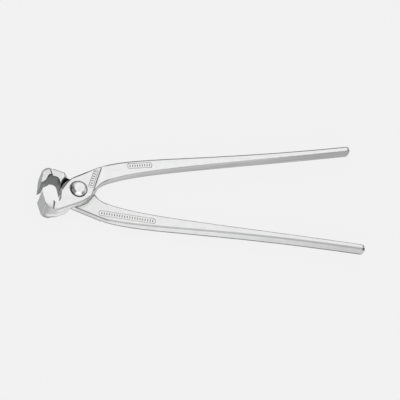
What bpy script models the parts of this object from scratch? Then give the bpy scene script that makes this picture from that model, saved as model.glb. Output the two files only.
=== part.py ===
"""Rebar tying pliers: two forged levers that cross at a lap joint, and the rivet that holds them."""

import math

import bmesh
import bpy
from mathutils import Matrix, Vector

MM = 0.001

# Overall sizes, measured with the mouth shut and from the pivot axis
EDGE_REACH = 31.9 * MM
HANDLE_REACH = 248.1 * MM
MOUTH_OPEN_DEG = 13.1

# Jaw: cutting edge, hollow behind it and the back of the head
EDGE_WIDTH = 22.6 * MM
EDGE_GAP = 0.1 * MM
BLADE_DEPTH = 9.4 * MM
BLADE_BACK_ROUND = 5.0 * MM
JAW_BACK = 16.4 * MM
JAW_BACK_RUN = 12.0 * MM
JAW_NOSE_RADIUS = 7.0 * MM
NECK_BACK_ROUND = 2.0 * MM
NECK_HALF_WIDTH = 8.0 * MM
NECK_LAP = 1.5 * MM
HOLLOW_DEPTH = 9.5 * MM
HOLLOW_FRONT_RUN = 6.1 * MM
HOLLOW_LENGTH = 9.4 * MM
HOLLOW_FRONT_RADIUS = 3.6 * MM
HOLLOW_REAR_RADIUS = 2.4 * MM
EDGE_BEVEL_RUN = 3.4 * MM
EDGE_BEVEL_DROP = 2.6 * MM

# Joint plate and the recess that takes the other lever's plate
PLATE_THICKNESS = 7.5 * MM
LAP_GAP = 0.3 * MM
PLATE_SHOULDER_RUN = 5.6 * MM
PLATE_SHOULDER_RISE = 11.0 * MM
PLATE_LOWER_EDGE = 12.2 * MM
PLATE_CORNER_RADIUS = 5.0 * MM
PLATE_EDGE_ROUND = 1.2 * MM
STEP_TOP_RUN = 23.8 * MM
STEP_FOOT_RUN = 11.6 * MM
STEP_FOOT_DROP = 6.2 * MM
RECESS_RADIUS = 15.0 * MM
RECESS_DEPTH = 12.0 * MM
RECESS_TAPER = 3.4 * MM
NOSE_CLEARANCE = 1.7 * MM
HORN_TURN_DEG = 58.0
HORN_FLANK_DEG = 15.0

# Rivet
RIVET_SHANK_RADIUS = 4.6 * MM
RIVET_HEAD_RADIUS = 7.0 * MM
RIVET_FLAT_RADIUS = 4.4 * MM
RIVET_HEAD_HEIGHT = 3.9 * MM
RIVET_RIM = 0.5 * MM
PIN_CLEARANCE = 0.12 * MM
HEAD_CLEARANCE = 0.12 * MM

# Handle: a bar that leaves the joint wide and flat and runs out narrow and deep
ROOT_LAP = 1.4 * MM
ROOT_RUN_OUT = 1.7 * MM
HANDLE_ROOT_WIDTH = 14.3 * MM
HANDLE_END_WIDTH = 5.9 * MM
HANDLE_ROOT_THICKNESS = 6.0 * MM
HANDLE_END_THICKNESS = 8.8 * MM
HANDLE_OFFSET = 18.0 * MM
HANDLE_ROOT_INSET = 4.2 * MM
HANDLE_FLARE = 2.3 * MM
EDGE_ROUND_ROOT = 1.2 * MM
EDGE_ROUND_END = 2.5 * MM
EDGE_INSET = 0.2 * MM
ROUND_OVER = 0.05 * MM

# Places that follow from the sizes above
BLADE_REAR = -EDGE_REACH + BLADE_DEPTH
NECK_TURN = -EDGE_REACH + JAW_BACK_RUN
PLATE_NOSE = RECESS_RADIUS - NOSE_CLEARANCE
ROOT_START = STEP_FOOT_RUN - ROOT_LAP
ROOT_END = STEP_TOP_RUN + ROOT_RUN_OUT
LAP_FACE = LAP_GAP / 2.0

# How finely round shapes are divided
CIRCLE_STEPS = 64
ARC_STEP = math.radians(9.0)
SMOOTH_BELOW = math.radians(30.0)
CORNER_STEPS = 4
HANDLE_STATIONS = 60
REACH = 60.0 * MM


def clear_scene():
    """Removes what the start-up scene holds."""
    for old in list(bpy.data.objects):
        bpy.data.objects.remove(old, do_unlink=True)


def collection(name):
    """Adds a collection to the scene."""
    made = bpy.data.collections.new(name)
    bpy.context.scene.collection.children.link(made)
    return made


def steel(name, colour, roughness):
    """Plain metal material."""
    made = bpy.data.materials.new(name)
    made.use_nodes = True
    shader = made.node_tree.nodes["Principled BSDF"]
    shader.inputs["Base Color"].default_value = (*colour, 1.0)
    shader.inputs["Metallic"].default_value = 1.0
    shader.inputs["Roughness"].default_value = roughness
    return made


def rounded(corners):
    """Outline through corners (x, y, radius), with an arc of that radius at each."""
    points = []
    count = len(corners)
    for index, (x, y, radius) in enumerate(corners):
        here = Vector((x, y))
        if radius == 0.0:
            points.append(here)
            continue
        back = (Vector(corners[index - 1][:2]) - here).normalized()
        ahead = (Vector(corners[(index + 1) % count][:2]) - here).normalized()
        half = back.angle(ahead) / 2.0
        bisector = (back + ahead).normalized()
        centre = here + bisector * (radius / math.sin(half))
        start = here + back * (radius / math.tan(half)) - centre
        sweep = start.angle_signed(here + ahead * (radius / math.tan(half)) - centre)
        steps = max(2, math.ceil(abs(sweep) / ARC_STEP))
        for step in range(steps + 1):
            points.append(centre + Matrix.Rotation(-sweep * step / steps, 2) @ start)
    return points


def add_solid(name, mesh, group):
    """Object for a closed mesh, smooth over its round stretches."""
    mesh.shade_smooth()
    mesh.set_sharp_from_angle(angle=SMOOTH_BELOW)
    solid = bpy.data.objects.new(name, mesh)
    group.objects.link(solid)
    return solid


def prism(name, outline, thickness, group):
    """Flat outline given a thickness, half of it on each side of its plane."""
    drawn = bpy.data.curves.new(name, "CURVE")
    drawn.dimensions = "2D"
    drawn.fill_mode = "BOTH"
    drawn.extrude = thickness / 2.0
    spline = drawn.splines.new("POLY")
    spline.points.add(len(outline) - 1)
    for point, (x, y) in zip(spline.points, outline):
        point.co = (x, y, 0.0, 1.0)
    spline.use_cyclic_u = True
    sketch = bpy.data.objects.new(name + "_outline", drawn)
    group.objects.link(sketch)
    evaluated = sketch.evaluated_get(bpy.context.evaluated_depsgraph_get())
    mesh = bpy.data.meshes.new_from_object(evaluated)
    bpy.data.objects.remove(sketch, do_unlink=True)
    work = bmesh.new()
    work.from_mesh(mesh)
    bmesh.ops.remove_doubles(work, verts=work.verts, dist=1e-6)
    bmesh.ops.recalc_face_normals(work, faces=work.faces)
    work.to_mesh(mesh)
    work.free()
    return add_solid(name, mesh, group)


def loft(name, rings, group):
    """Closed skin through rings of equally many points, capped at both ends."""
    work = bmesh.new()
    rows = [[work.verts.new(point) for point in ring] for ring in rings]
    for row, following in zip(rows, rows[1:]):
        for index in range(len(row)):
            after = (index + 1) % len(row)
            work.faces.new((row[index], row[after], following[after], following[index]))
    work.faces.new(rows[0])
    work.faces.new(rows[-1])
    bmesh.ops.recalc_face_normals(work, faces=work.faces)
    mesh = bpy.data.meshes.new(name)
    work.to_mesh(mesh)
    work.free()
    return add_solid(name, mesh, group)


def cylinder(name, radius, length, group):
    """Round bar about Z, centred on the lap plane."""
    work = bmesh.new()
    bmesh.ops.create_cone(
        work, cap_ends=True, segments=CIRCLE_STEPS, radius1=radius, radius2=radius, depth=length)
    mesh = bpy.data.meshes.new(name)
    work.to_mesh(mesh)
    work.free()
    return add_solid(name, mesh, group)


def blade_outline():
    """Plan of the broad part of the jaw behind the edge, left solid where the hollow is cut."""
    return rounded([
        (-EDGE_REACH, JAW_BACK, 0.0),
        (-EDGE_REACH, -JAW_BACK, JAW_NOSE_RADIUS),
        (BLADE_REAR, -JAW_BACK, 0.0),
        (BLADE_REAR, JAW_BACK, 0.0),
    ])


def neck_outline():
    """Plan of the neck and joint plate, left solid where the hollow is cut."""
    start = BLADE_REAR - NECK_LAP
    back = -JAW_BACK + EDGE_INSET
    return rounded([
        (start, plate_edge(start), 0.0),
        (start, back, 0.0),
        (NECK_TURN, back, JAW_NOSE_RADIUS),
        (0.0, -PLATE_LOWER_EDGE, RECESS_RADIUS),
        (STEP_FOOT_RUN, -STEP_FOOT_DROP, PLATE_CORNER_RADIUS),
        (STEP_TOP_RUN, plate_edge(STEP_TOP_RUN), PLATE_EDGE_ROUND),
    ])


def mouth_outline():
    """Plan of the room ahead of the plate and inside the jaw, with the mouth shut."""
    hollow_front = -EDGE_REACH + HOLLOW_FRONT_RUN
    hollow_rear = hollow_front + HOLLOW_LENGTH
    slope = EDGE_BEVEL_DROP / EDGE_BEVEL_RUN
    return rounded([
        (-EDGE_REACH - REACH, -EDGE_GAP + REACH * slope, 0.0),
        (-EDGE_REACH + EDGE_BEVEL_RUN, -EDGE_GAP - EDGE_BEVEL_DROP, HOLLOW_REAR_RADIUS),
        (hollow_front, -HOLLOW_DEPTH, HOLLOW_FRONT_RADIUS),
        (hollow_rear, -HOLLOW_DEPTH, HOLLOW_REAR_RADIUS),
        (-PLATE_NOSE, 0.0, PLATE_CORNER_RADIUS),
        (-PLATE_SHOULDER_RUN, PLATE_SHOULDER_RISE, PLATE_CORNER_RADIUS),
        (STEP_FOOT_RUN, plate_edge(STEP_FOOT_RUN) + PLATE_EDGE_ROUND, 0.0),
        (STEP_FOOT_RUN, REACH, 0.0),
    ])


def back_profile(back, low, high, low_round, high_round):
    """End view of a jaw's back: flat sides, with the two edges along the back rounded."""
    return rounded([
        (-back, low, low_round),
        (-back, high, high_round),
        (REACH, high, 0.0),
        (REACH, low, 0.0),
    ])


def along(x):
    """Share of the handle's length passed at x, from the end of its root to its tip."""
    return min(1.0, max(0.0, (x - ROOT_END) / (HANDLE_REACH - ROOT_END)))


def handle_width(x):
    """Width of the handle, wide at the root and tapering quickly at first."""
    return HANDLE_END_WIDTH + (HANDLE_ROOT_WIDTH - HANDLE_END_WIDTH) * (1.0 - along(x)) ** 1.75


def handle_centre(x):
    """Distance of the handle's middle from the tool's axis, flaring towards the tip."""
    share = along(x)
    return HANDLE_OFFSET + HANDLE_FLARE * share ** 4 - HANDLE_ROOT_INSET * (1.0 - share) ** 14


def plate_edge(x):
    """Upper edge of the joint plate: straight from its shoulder to the end of the handle's root."""
    full = handle_centre(ROOT_END) + handle_width(ROOT_END) / 2.0
    share = (x + PLATE_SHOULDER_RUN) / (ROOT_END + PLATE_SHOULDER_RUN)
    return PLATE_SHOULDER_RISE + (full - PLATE_SHOULDER_RISE) * share


def outer_edge(x):
    """Outer edge of the handle; beside the joint it lies just inside the plate's edge."""
    if x >= ROOT_END:
        return handle_centre(x) + handle_width(x) / 2.0
    return plate_edge(x) - EDGE_INSET * min(1.0, (ROOT_END - x) / (ROOT_END - STEP_TOP_RUN))


def inner_edge(x):
    """Inner edge of the handle; at the root it sweeps round to the plate's lower edge."""
    if x >= ROOT_END:
        return handle_centre(x) - handle_width(x) / 2.0
    slope = (inner_edge(ROOT_END + MM) - inner_edge(ROOT_END)) / MM
    straight = inner_edge(ROOT_END) + slope * (x - ROOT_END)
    share = (x - ROOT_START) / (ROOT_END - ROOT_START)
    drop = inner_edge(ROOT_END) + slope * (ROOT_START - ROOT_END) + STEP_FOOT_DROP - EDGE_INSET
    return straight - drop * (1.0 - math.sin(math.pi / 2.0 * share) ** 1.2)


def handle_section(x, shrink):
    """Rounded rectangle across the handle at x, drawn in by shrink near the tip."""
    share = along(x)
    ease = 1.0 - (1.0 - share) ** 2
    low_root = LAP_FACE + EDGE_INSET
    low = low_root - (low_root + HANDLE_END_THICKNESS / 2.0) * ease
    thick = HANDLE_ROOT_THICKNESS + (HANDLE_END_THICKNESS - HANDLE_ROOT_THICKNESS) * ease
    corner = EDGE_ROUND_ROOT + (EDGE_ROUND_END - EDGE_ROUND_ROOT) * ease
    middle_y = (outer_edge(x) + inner_edge(x)) / 2.0
    half_y = (outer_edge(x) - inner_edge(x)) / 2.0 - shrink
    middle_z = low + thick / 2.0
    half_z = thick / 2.0 - shrink
    corner = min(corner, half_y, half_z)
    ring = []
    for quarter, (sign_y, sign_z) in enumerate([(1, 1), (-1, 1), (-1, -1), (1, -1)]):
        for step in range(CORNER_STEPS + 1):
            turn = math.pi / 2.0 * (quarter + step / CORNER_STEPS)
            y = middle_y + sign_y * (half_y - corner) + corner * math.cos(turn)
            z = middle_z + sign_z * (half_z - corner) + corner * math.sin(turn)
            ring.append((x, y, z))
    return ring


def handle_rings():
    """Sections of the handle from inside the joint plate to the rounded tip."""
    rings = []
    nose = EDGE_ROUND_END
    for index in range(HANDLE_STATIONS):
        share = index / (HANDLE_STATIONS - 1)
        x = ROOT_START + (HANDLE_REACH - nose - ROOT_START) * share ** 2.4
        rings.append(handle_section(x, 0.0))
    for step in range(1, CORNER_STEPS + 1):
        turn = math.pi / 2.0 * step / (CORNER_STEPS + 0.5)
        x = HANDLE_REACH - nose + nose * math.sin(turn)
        rings.append(handle_section(x, nose * 0.6 * (1.0 - math.cos(turn))))
    return rings


def recess_ring(radius, turn_deg, z):
    """Room for the other lever's plate: round about the pivot, up to the horn at the jaw's corner."""
    start = math.pi / 2.0
    end = math.pi + math.radians(turn_deg)
    steps = CIRCLE_STEPS // 2
    outline = [(REACH, -REACH), (REACH, REACH), (0.0, REACH)]
    for step in range(steps + 1):
        turn = start + (end - start) * step / steps
        outline.append((radius * math.cos(turn), radius * math.sin(turn)))
    outline.append((REACH * math.cos(end), REACH * math.sin(end)))
    return [(x, y, z) for x, y in outline]


def cut(target, tool, operation):
    """Adds a Boolean of one solid with another."""
    step = target.modifiers.new(tool.name, "BOOLEAN")
    step.operation = operation
    step.solver = "EXACT"
    step.object = tool


def lever(name, material, parts, cutters, pivot):
    """One lever: jaw, joint plate and handle as one forging, about the pivot empty."""
    body = prism(name, neck_outline(), EDGE_WIDTH, parts)
    body.data.materials.append(material)
    body.parent = pivot
    half = EDGE_WIDTH / 2.0
    blade = prism(name + "_blade", blade_outline(), EDGE_WIDTH + EDGE_INSET, cutters)
    blade_back = prism(name + "_blade_back", back_profile(
        JAW_BACK + ROUND_OVER, -half, half, BLADE_BACK_ROUND, BLADE_BACK_ROUND), REACH * 2.0, cutters)
    blade_back.rotation_euler = (math.pi / 2.0, 0.0, math.pi / 2.0)
    lean = math.atan2(JAW_BACK - PLATE_LOWER_EDGE, -NECK_TURN)
    neck_back = prism(name + "_neck_back", back_profile(
        PLATE_LOWER_EDGE * math.cos(lean) + ROUND_OVER, -NECK_HALF_WIDTH, PLATE_THICKNESS,
        NECK_BACK_ROUND, PLATE_EDGE_ROUND), REACH * 2.0, cutters)
    neck_back.rotation_euler = (math.pi / 2.0, 0.0, math.pi / 2.0 + lean)
    climb = math.atan2(plate_edge(STEP_TOP_RUN) - plate_edge(0.0), STEP_TOP_RUN)
    plate_top = prism(name + "_plate_top", back_profile(
        plate_edge(0.0) * math.cos(climb) + ROUND_OVER, -EDGE_WIDTH, PLATE_THICKNESS + ROUND_OVER,
        0.0, PLATE_EDGE_ROUND), REACH * 2.0, cutters)
    plate_top.rotation_euler = (math.pi / 2.0, 0.0, climb - math.pi / 2.0)
    recess = loft(name + "_recess", [
        recess_ring(RECESS_RADIUS, HORN_TURN_DEG, LAP_FACE),
        recess_ring(RECESS_RADIUS + RECESS_TAPER, HORN_TURN_DEG - HORN_FLANK_DEG, -RECESS_DEPTH)], cutters)
    grip = loft(name + "_handle", handle_rings(), cutters)
    mouth = prism(name + "_mouth", mouth_outline(), EDGE_WIDTH * 2.0, cutters)
    bore = cylinder(name + "_bore", RIVET_SHANK_RADIUS + PIN_CLEARANCE, REACH, cutters)
    for tool in (blade, blade_back, neck_back, plate_top, recess, grip, mouth, bore):
        tool.parent = pivot
        tool.hide_render = True
        tool.display_type = "WIRE"
    cut(blade, blade_back, "INTERSECT")
    cut(body, neck_back, "INTERSECT")
    cut(body, plate_top, "INTERSECT")
    cut(body, recess, "DIFFERENCE")
    cut(body, blade, "UNION")
    cut(body, grip, "UNION")
    cut(body, mouth, "DIFFERENCE")
    cut(body, bore, "DIFFERENCE")
    return body


def rivet(material, parts, pivot):
    """Turned rivet: a shank with a cone-shaped, flat-topped head at each end."""
    seat = PLATE_THICKNESS + HEAD_CLEARANCE
    top = PLATE_THICKNESS + RIVET_HEAD_HEIGHT
    profile = [
        (0.0, top), (RIVET_FLAT_RADIUS, top), (RIVET_HEAD_RADIUS, seat + RIVET_RIM),
        (RIVET_HEAD_RADIUS, seat), (RIVET_SHANK_RADIUS, seat), (RIVET_SHANK_RADIUS, -seat),
        (RIVET_HEAD_RADIUS, -seat), (RIVET_HEAD_RADIUS, -seat - RIVET_RIM),
        (RIVET_FLAT_RADIUS, -top), (0.0, -top)]
    mesh = bpy.data.meshes.new("rivet")
    points = [(x, 0.0, z) for x, z in profile]
    mesh.from_pydata(points, [(i, i + 1) for i in range(len(points) - 1)], [])
    turned = bpy.data.objects.new("rivet", mesh)
    parts.objects.link(turned)
    turned.data.materials.append(material)
    turned.parent = pivot
    screw = turned.modifiers.new("turned", "SCREW")
    screw.axis = "Z"
    screw.steps = CIRCLE_STEPS
    screw.render_steps = CIRCLE_STEPS
    screw.use_smooth_shade = True
    screw.use_merge_vertices = True
    screw.merge_threshold = 0.00001
    return turned


def pivot_empty(name, rotation, parts):
    """Empty on the pivot axis at the lap plane."""
    made = bpy.data.objects.new(name, None)
    parts.objects.link(made)
    made.location = (0.0, 0.0, PLATE_THICKNESS + RIVET_HEAD_HEIGHT)
    made.rotation_euler = rotation
    return made


def main():
    clear_scene()
    parts = collection("rebar_tying_pliers")
    cutters = collection("cutters")
    plated = steel("zinc_plated_steel", (0.78, 0.78, 0.78), 0.38)
    headed = steel("zinc_plated_rivet", (0.74, 0.74, 0.74), 0.32)
    half_open = math.radians(MOUTH_OPEN_DEG) / 2.0
    front = pivot_empty("front_pivot", (0.0, 0.0, half_open), parts)
    rear = pivot_empty("rear_pivot", (math.pi, 0.0, -half_open), parts)
    lever("front_lever", plated, parts, cutters, front)
    lever("rear_lever", plated, parts, cutters, rear)
    rivet(headed, parts, front)


main()
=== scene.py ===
"""Rebar tying pliers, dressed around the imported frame: zinc plated forgings, rivet and studio."""

import math

import bmesh
import bpy
import numpy as np
from mathutils import Euler, Matrix, Vector


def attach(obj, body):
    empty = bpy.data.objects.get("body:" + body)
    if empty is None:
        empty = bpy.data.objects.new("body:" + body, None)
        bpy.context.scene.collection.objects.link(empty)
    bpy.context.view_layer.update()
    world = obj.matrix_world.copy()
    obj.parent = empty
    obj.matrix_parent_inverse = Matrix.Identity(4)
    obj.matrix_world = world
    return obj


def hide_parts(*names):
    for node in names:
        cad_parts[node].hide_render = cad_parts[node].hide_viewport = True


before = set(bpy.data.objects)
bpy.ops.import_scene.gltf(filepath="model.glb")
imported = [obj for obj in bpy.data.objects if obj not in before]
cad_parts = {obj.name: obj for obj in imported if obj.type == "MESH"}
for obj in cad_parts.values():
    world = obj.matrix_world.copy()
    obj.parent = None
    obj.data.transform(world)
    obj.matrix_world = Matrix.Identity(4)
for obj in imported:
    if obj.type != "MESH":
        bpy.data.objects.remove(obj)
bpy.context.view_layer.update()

bl_info = {
    "name": "Rebar tying pliers",
    "version": (1, 0, 0),
    "blender": (4, 5, 0),
    "location": "View3D > Sidebar > Pliers",
    "description": "Builds zinc plated rebar tying pliers around their packed frame",
    "category": "Object",
}

MM = 0.001

# Sizes are in metres where no comment says mm, and angles in radians. The lever's own frame has the
# pivot at its origin, the edge on -X, the handle along +X and the joint plate on +Z.

# Jaw
EDGE_REACH = 31.9 * MM
EDGE_WIDTH = 22.6 * MM
EDGE_GAP = 0.1 * MM  # from each edge to the middle plane when shut
GRINDING = 0.8 * MM  # stock that grinding takes off the front
FRONT_LEAN = math.radians(3.0)
EDGE_BEVEL_RUN = 3.4 * MM
EDGE_BEVEL_DROP = 2.6 * MM
BLADE_DEPTH = 9.9 * MM
BLADE_REAR_LEAN = 2.9 * MM
BLADE_REAR_TURN = 8.0 * MM
BLADE_REAR_TAPER = 0.5  # how much the rear draws in per height beyond the neck
BLADE_BACK_ROUND = 3.7 * MM
JAW_BACK = 16.1 * MM
JAW_BACK_RUN = 12.0 * MM
JAW_NOSE_RADIUS = 7.6 * MM
NECK_BACK_ROUND = 2.0 * MM
NECK_HALF_WIDTH = 8.0 * MM
NECK_LAP = 1.5 * MM  # how far the neck reaches into the blade
NECK_BULGE = 0.4 * MM  # how far the neck's back stands out past the blade's
HOLLOW_DEPTH = 9.5 * MM
HOLLOW_FRONT_RUN = 6.1 * MM
HOLLOW_LENGTH = 8.8 * MM
HOLLOW_FRONT_RADIUS = 3.6 * MM
HOLLOW_REAR_RADIUS = 4.5 * MM
BEVEL_FOOT_RADIUS = 2.4 * MM

# Joint plate, recess and rivet
PLATE_THICKNESS = 7.5 * MM
LAP_FACE = 0.15 * MM  # from the lap face to the middle plane
PLATE_NOSE_RUN = 13.8 * MM
PLATE_NOSE_RISE = 2.2 * MM
PLATE_BEND_RUN = 6.4 * MM
PLATE_BEND_RISE = 9.9 * MM
PLATE_BEND_RADIUS = 25.0 * MM
PLATE_SHOULDER_RUN = 5.6 * MM
PLATE_SHOULDER_RISE = 11.0 * MM
PLATE_LOWER_EDGE = 11.4 * MM
PLATE_CORNER_RADIUS = 5.0 * MM
PLATE_EDGE_ROUND = 1.2 * MM
STEP_TOP_RUN = 24.3 * MM
STEP_FOOT_RUN = 10.0 * MM
STEP_FOOT_DROP = 6.2 * MM
RECESS_RADIUS = 15.0 * MM
RECESS_DEPTH = 12.0 * MM
RECESS_TAPER = 0.9 * MM
HORN_TURN = math.radians(58.0)
HORN_FLANK = math.radians(30.0)  # how much less of a turn the recess has at its foot
HORN_SWING = math.radians(27.0)  # how far the flank of the horn swings at the recess's foot
RIVET_SHANK_RADIUS = 4.6 * MM
RIVET_HEAD_RADIUS = 7.0 * MM
RIVET_FLAT_RADIUS = 4.4 * MM
RIVET_HEAD_HEIGHT = 3.9 * MM
RIVET_RIM = 0.5 * MM
RIVET_TOP_ROUND = 0.5 * MM
RIVET_RIM_ROUND = 0.3 * MM
RIVET_SEAT_ROUND = 0.1 * MM
FIT_CLEARANCE = 0.12 * MM

# Foot of the plate's lower side: corners (x, y, radius) in mm on the lap face, and how its top is set in
HEEL_CORNERS = (
    (-6.0, -11.0, 0.0), (-1.0, -12.2, 6.0), (7.8, -9.3, 8.0), (13.9, -3.7, 12.0),
    (18.3, 2.2, 6.0), (21.5, 4.6, 0.0), (18.0, 7.0, 0.0), (5.0, 0.0, 0.0))
HEEL_SET_IN = Vector((-1.1 * MM, 1.6 * MM))

# Handle
HANDLE_REACH = 248.05 * MM
ROOT_START = 10.2 * MM
ROOT_END = 25.5 * MM
ROOT_OVERLAP = 3.0 * MM  # how far the root reaches into the handle
HANDLE_ROOT_WIDTH = 14.75 * MM
HANDLE_END_WIDTH = 4.5 * MM
HANDLE_ROOT_THICKNESS = 6.4 * MM
HANDLE_END_THICKNESS = 8.8 * MM
HANDLE_OFFSET = 18.0 * MM
HANDLE_ROOT_INSET = 4.6 * MM
HANDLE_FLARE = 1.5 * MM
EDGE_ROUND_ROOT = 0.8 * MM
EDGE_ROUND_END = 1.0 * MM
HANDLE_LEAN = 0.2  # how far its sides lean outward per height
EDGE_INSET = 0.2 * MM  # how far the root lies inside the plate's edge
ROUND_OVER = 0.05 * MM  # keeps faces out of one plane where solids are cut
TAPER_POWER = 2.4
FLARE_POWER = 4.0
INSET_POWER = 11.0
LEAN_POWER = 8.0
ROOT_SWEEP_POWER = 0.8
TIP_ROUND = 3.6 * MM
TIP_DRAW_ACROSS = 0.4
TIP_DRAW_DEPTH = 0.85
TIP_LEAST = 0.03  # keeps the tip's last ring from closing to a point

# Raised frames: corners or ends of each in mm in plan, and the ends of the row of bars in it
PLAQUE_CORNERS = ((11.9, 0.5), (20.4, 16.2), (16.6, 16.5), (8.5, 1.8))
PLAQUE_ROUND = 0.8
PLAQUE_ROW = ((11.0, 2.9), (17.6, 15.0))
UPPER_PILL = ((46.4, 18.7), (67.6, 18.3))
UPPER_ROW = ((48.6, 18.65), (65.6, 18.35))
LOWER_PILL = ((18.9, 15.1), (66.6, 17.7))
LOWER_ROW = ((21.4, 15.2), (64.2, 17.6))
PILL_HALF = 2.3
PILL_ROUND = 0.98 * PILL_HALF  # keeps the two arcs of an end apart

# How much of the painted shade's grey the raised work takes
BEAD_SHARE = 0.5
BAR_SHARE = 1.0

# Stage
FLOOR_HALF = 4.0
FLOOR_TOP = -0.3 * MM
FLOOR_FOOT = -20.0 * MM
FLOOR_PLAIN_SHARE = 0.93
SOFTBOX_PLACE = (-0.2, 0.32, 1.15)
CARD_SIZE = (2.8, 1.1)
CARD_PLACE = (-0.1, -1.6, 0.75)
CAMERA_RIGHT = Vector((0.963097, -0.106903, 0.247014))
CAMERA_BACK = Vector((-0.268217, -0.457714, 0.847678))
CAMERA_SENSOR = 36.0
CAMERA_FAR = 20.0

# Places that follow from the sizes
BLADE_REAR = -EDGE_REACH + BLADE_DEPTH
NECK_TURN = -EDGE_REACH + JAW_BACK_RUN
ROOT_LOW = LAP_FACE
PLATE_CLIMB = (PLATE_BEND_RISE - PLATE_NOSE_RISE) / (PLATE_NOSE_RUN - PLATE_BEND_RUN)

# How finely shapes are drawn
ARC_STEP = math.radians(4.0)
CIRCLE_STEPS = 128
RING_POINTS = 48
STATIONS = 440
ROOT_STEPS = 80
BLADE_STEPS = 15
BEAD_STEPS = 10
ROW_STEPS = 40
PILL_STEPS = 30
SHARP_ANGLE = math.radians(32.0)
MERGE_DISTANCE = 0.001 * MM  # points nearer than this become one
SHORTEST_EDGE = 0.01 * MM  # shorter edges count as this long

# How far the tools that cut the forging reach past it
REACH = 60.0 * MM

# Where the levers stand at rest: half the mouth's opening each way, rivet on the floor
HALF_OPEN = math.radians(13.1) / 2.0
LAP_HEIGHT = Matrix.Translation((0.0, 0.0, PLATE_THICKNESS + RIVET_HEAD_HEIGHT))
FRONT_PLACE = LAP_HEIGHT @ Euler((0.0, 0.0, HALF_OPEN)).to_matrix().to_4x4()
REAR_PLACE = LAP_HEIGHT @ Euler((math.pi, 0.0, -HALF_OPEN)).to_matrix().to_4x4()


def linear(hex_colour):
    """Linear RGB of an sRGB hex colour."""
    shares = [int(hex_colour[i:i + 2], 16) / 255.0 for i in (1, 3, 5)]
    return tuple(c / 12.92 if c <= 0.04045 else ((c + 0.055) / 1.055) ** 2.4 for c in shares)


class PliersFinish(bpy.types.PropertyGroup):
    """Colours of the finishes."""

    zinc: bpy.props.FloatVectorProperty(
        name="Zinc", description="Bright zinc on the forged levers",
        subtype="COLOR", default=linear("#EFF0EF"), min=0.0, max=1.0)
    # Painted shade: a grey laid on corners, brinks and faces where shade and dark reflections fall, and
    # round the rivet
    painted_shade_grey: bpy.props.FloatVectorProperty(
        name="Thin zinc", description="Zinc where it is thin, on the corners",
        subtype="COLOR", default=linear("#646665"), min=0.0, max=1.0)
    # Also painted shade: this grey darkens the sides that face the other handle
    trimmed: bpy.props.FloatVectorProperty(
        name="Trimmed sides", description="Duller zinc where the flash was trimmed, inside the handles",
        subtype="COLOR", default=linear("#BABBBA"), min=0.0, max=1.0)
    ground: bpy.props.FloatVectorProperty(
        name="Ground faces", description="Zinc over the ground front faces",
        subtype="COLOR", default=linear("#DBDDDC"), min=0.0, max=1.0)
    # Painted shade: this dark grey stands in for the shade inside the hollow
    hollow: bpy.props.FloatVectorProperty(
        name="Hollow", description="Dull zinc in the hollow of the jaws",
        subtype="COLOR", default=linear("#7B7F7D"), min=0.0, max=1.0)
    # Painted shade: a near black for the shaded slot beside the joint plate
    slot_shade: bpy.props.FloatVectorProperty(
        name="Oil", description="Oil in the slot beside the joint plate",
        subtype="COLOR", default=linear("#151716"), min=0.0, max=1.0)
    rivet: bpy.props.FloatVectorProperty(
        name="Rivet", description="Zinc on the turned rivet",
        subtype="COLOR", default=linear("#EBECEB"), min=0.0, max=1.0)
    floor: bpy.props.FloatVectorProperty(
        name="Floor", description="Pale studio floor",
        subtype="COLOR", default=linear("#F3F3F3"), min=0.0, max=1.0)


class PliersForging(bpy.types.PropertyGroup):
    """How the forged skin is softened, and the raised work on it."""

    skin: bpy.props.FloatProperty(
        name="Skin", description="Size of the faces of the forged skin",
        default=0.36 * MM, unit="LENGTH", precision=5)
    soften: bpy.props.IntProperty(
        name="Soften", description="How often the forged skin's edges are softened",
        default=6, min=0, max=40)
    rib_radius: bpy.props.FloatProperty(
        name="Rib radius", description="Half the width of a raised frame",
        default=0.32 * MM, unit="LENGTH", precision=5)
    bar_radius: bpy.props.FloatProperty(
        name="Bar radius", description="Half the width of a raised bar",
        default=0.42 * MM, unit="LENGTH", precision=5)
    bar_length: bpy.props.FloatProperty(
        name="Bar length", description="Length of a raised bar",
        default=2.2 * MM, unit="LENGTH", precision=5)
    bar_spacing: bpy.props.FloatProperty(
        name="Bar spacing", description="Distance from one raised bar to the next",
        default=2.1 * MM, unit="LENGTH", precision=5)


class PliersStage(bpy.types.PropertyGroup):
    """Camera and light."""

    camera_place: bpy.props.FloatVectorProperty(
        name="Camera", description="Where the camera stands",
        subtype="TRANSLATION", default=(-0.42318, -0.90480, 1.68098))
    lens: bpy.props.FloatProperty(
        name="Lens", description="Focal length of the camera on a 36 mm sensor",
        default=211.8, unit="CAMERA")
    softbox_power: bpy.props.FloatProperty(
        name="Softbox", description="Power of the overhead softbox",
        default=23.2, unit="POWER")
    softbox_size: bpy.props.FloatProperty(
        name="Softbox size", description="Side of the overhead softbox",
        default=3.1, unit="LENGTH")
    card_power: bpy.props.FloatProperty(
        name="Card", description="Power of the low card in front",
        default=10.0, unit="POWER")
    room: bpy.props.FloatProperty(
        name="Room", description="Level of the light from the room",
        default=0.23, min=0.0, max=1.0)


# Node trees

def node(tree, kind, inputs=None, **settings):
    """Adds a node with its settings, and a value or a link for each input named."""
    made = tree.nodes.new(kind)
    for name, value in settings.items():
        setattr(made, name, value)
    for key, value in (inputs or {}).items():
        if isinstance(value, bpy.types.NodeSocket):
            tree.links.new(value, made.inputs[key])
        else:
            made.inputs[key].default_value = value
    return made


def new_material(name):
    """Material with an empty node tree."""
    made = bpy.data.materials.new(name)
    made.use_nodes = True
    made.node_tree.nodes.clear()
    return made


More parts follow.
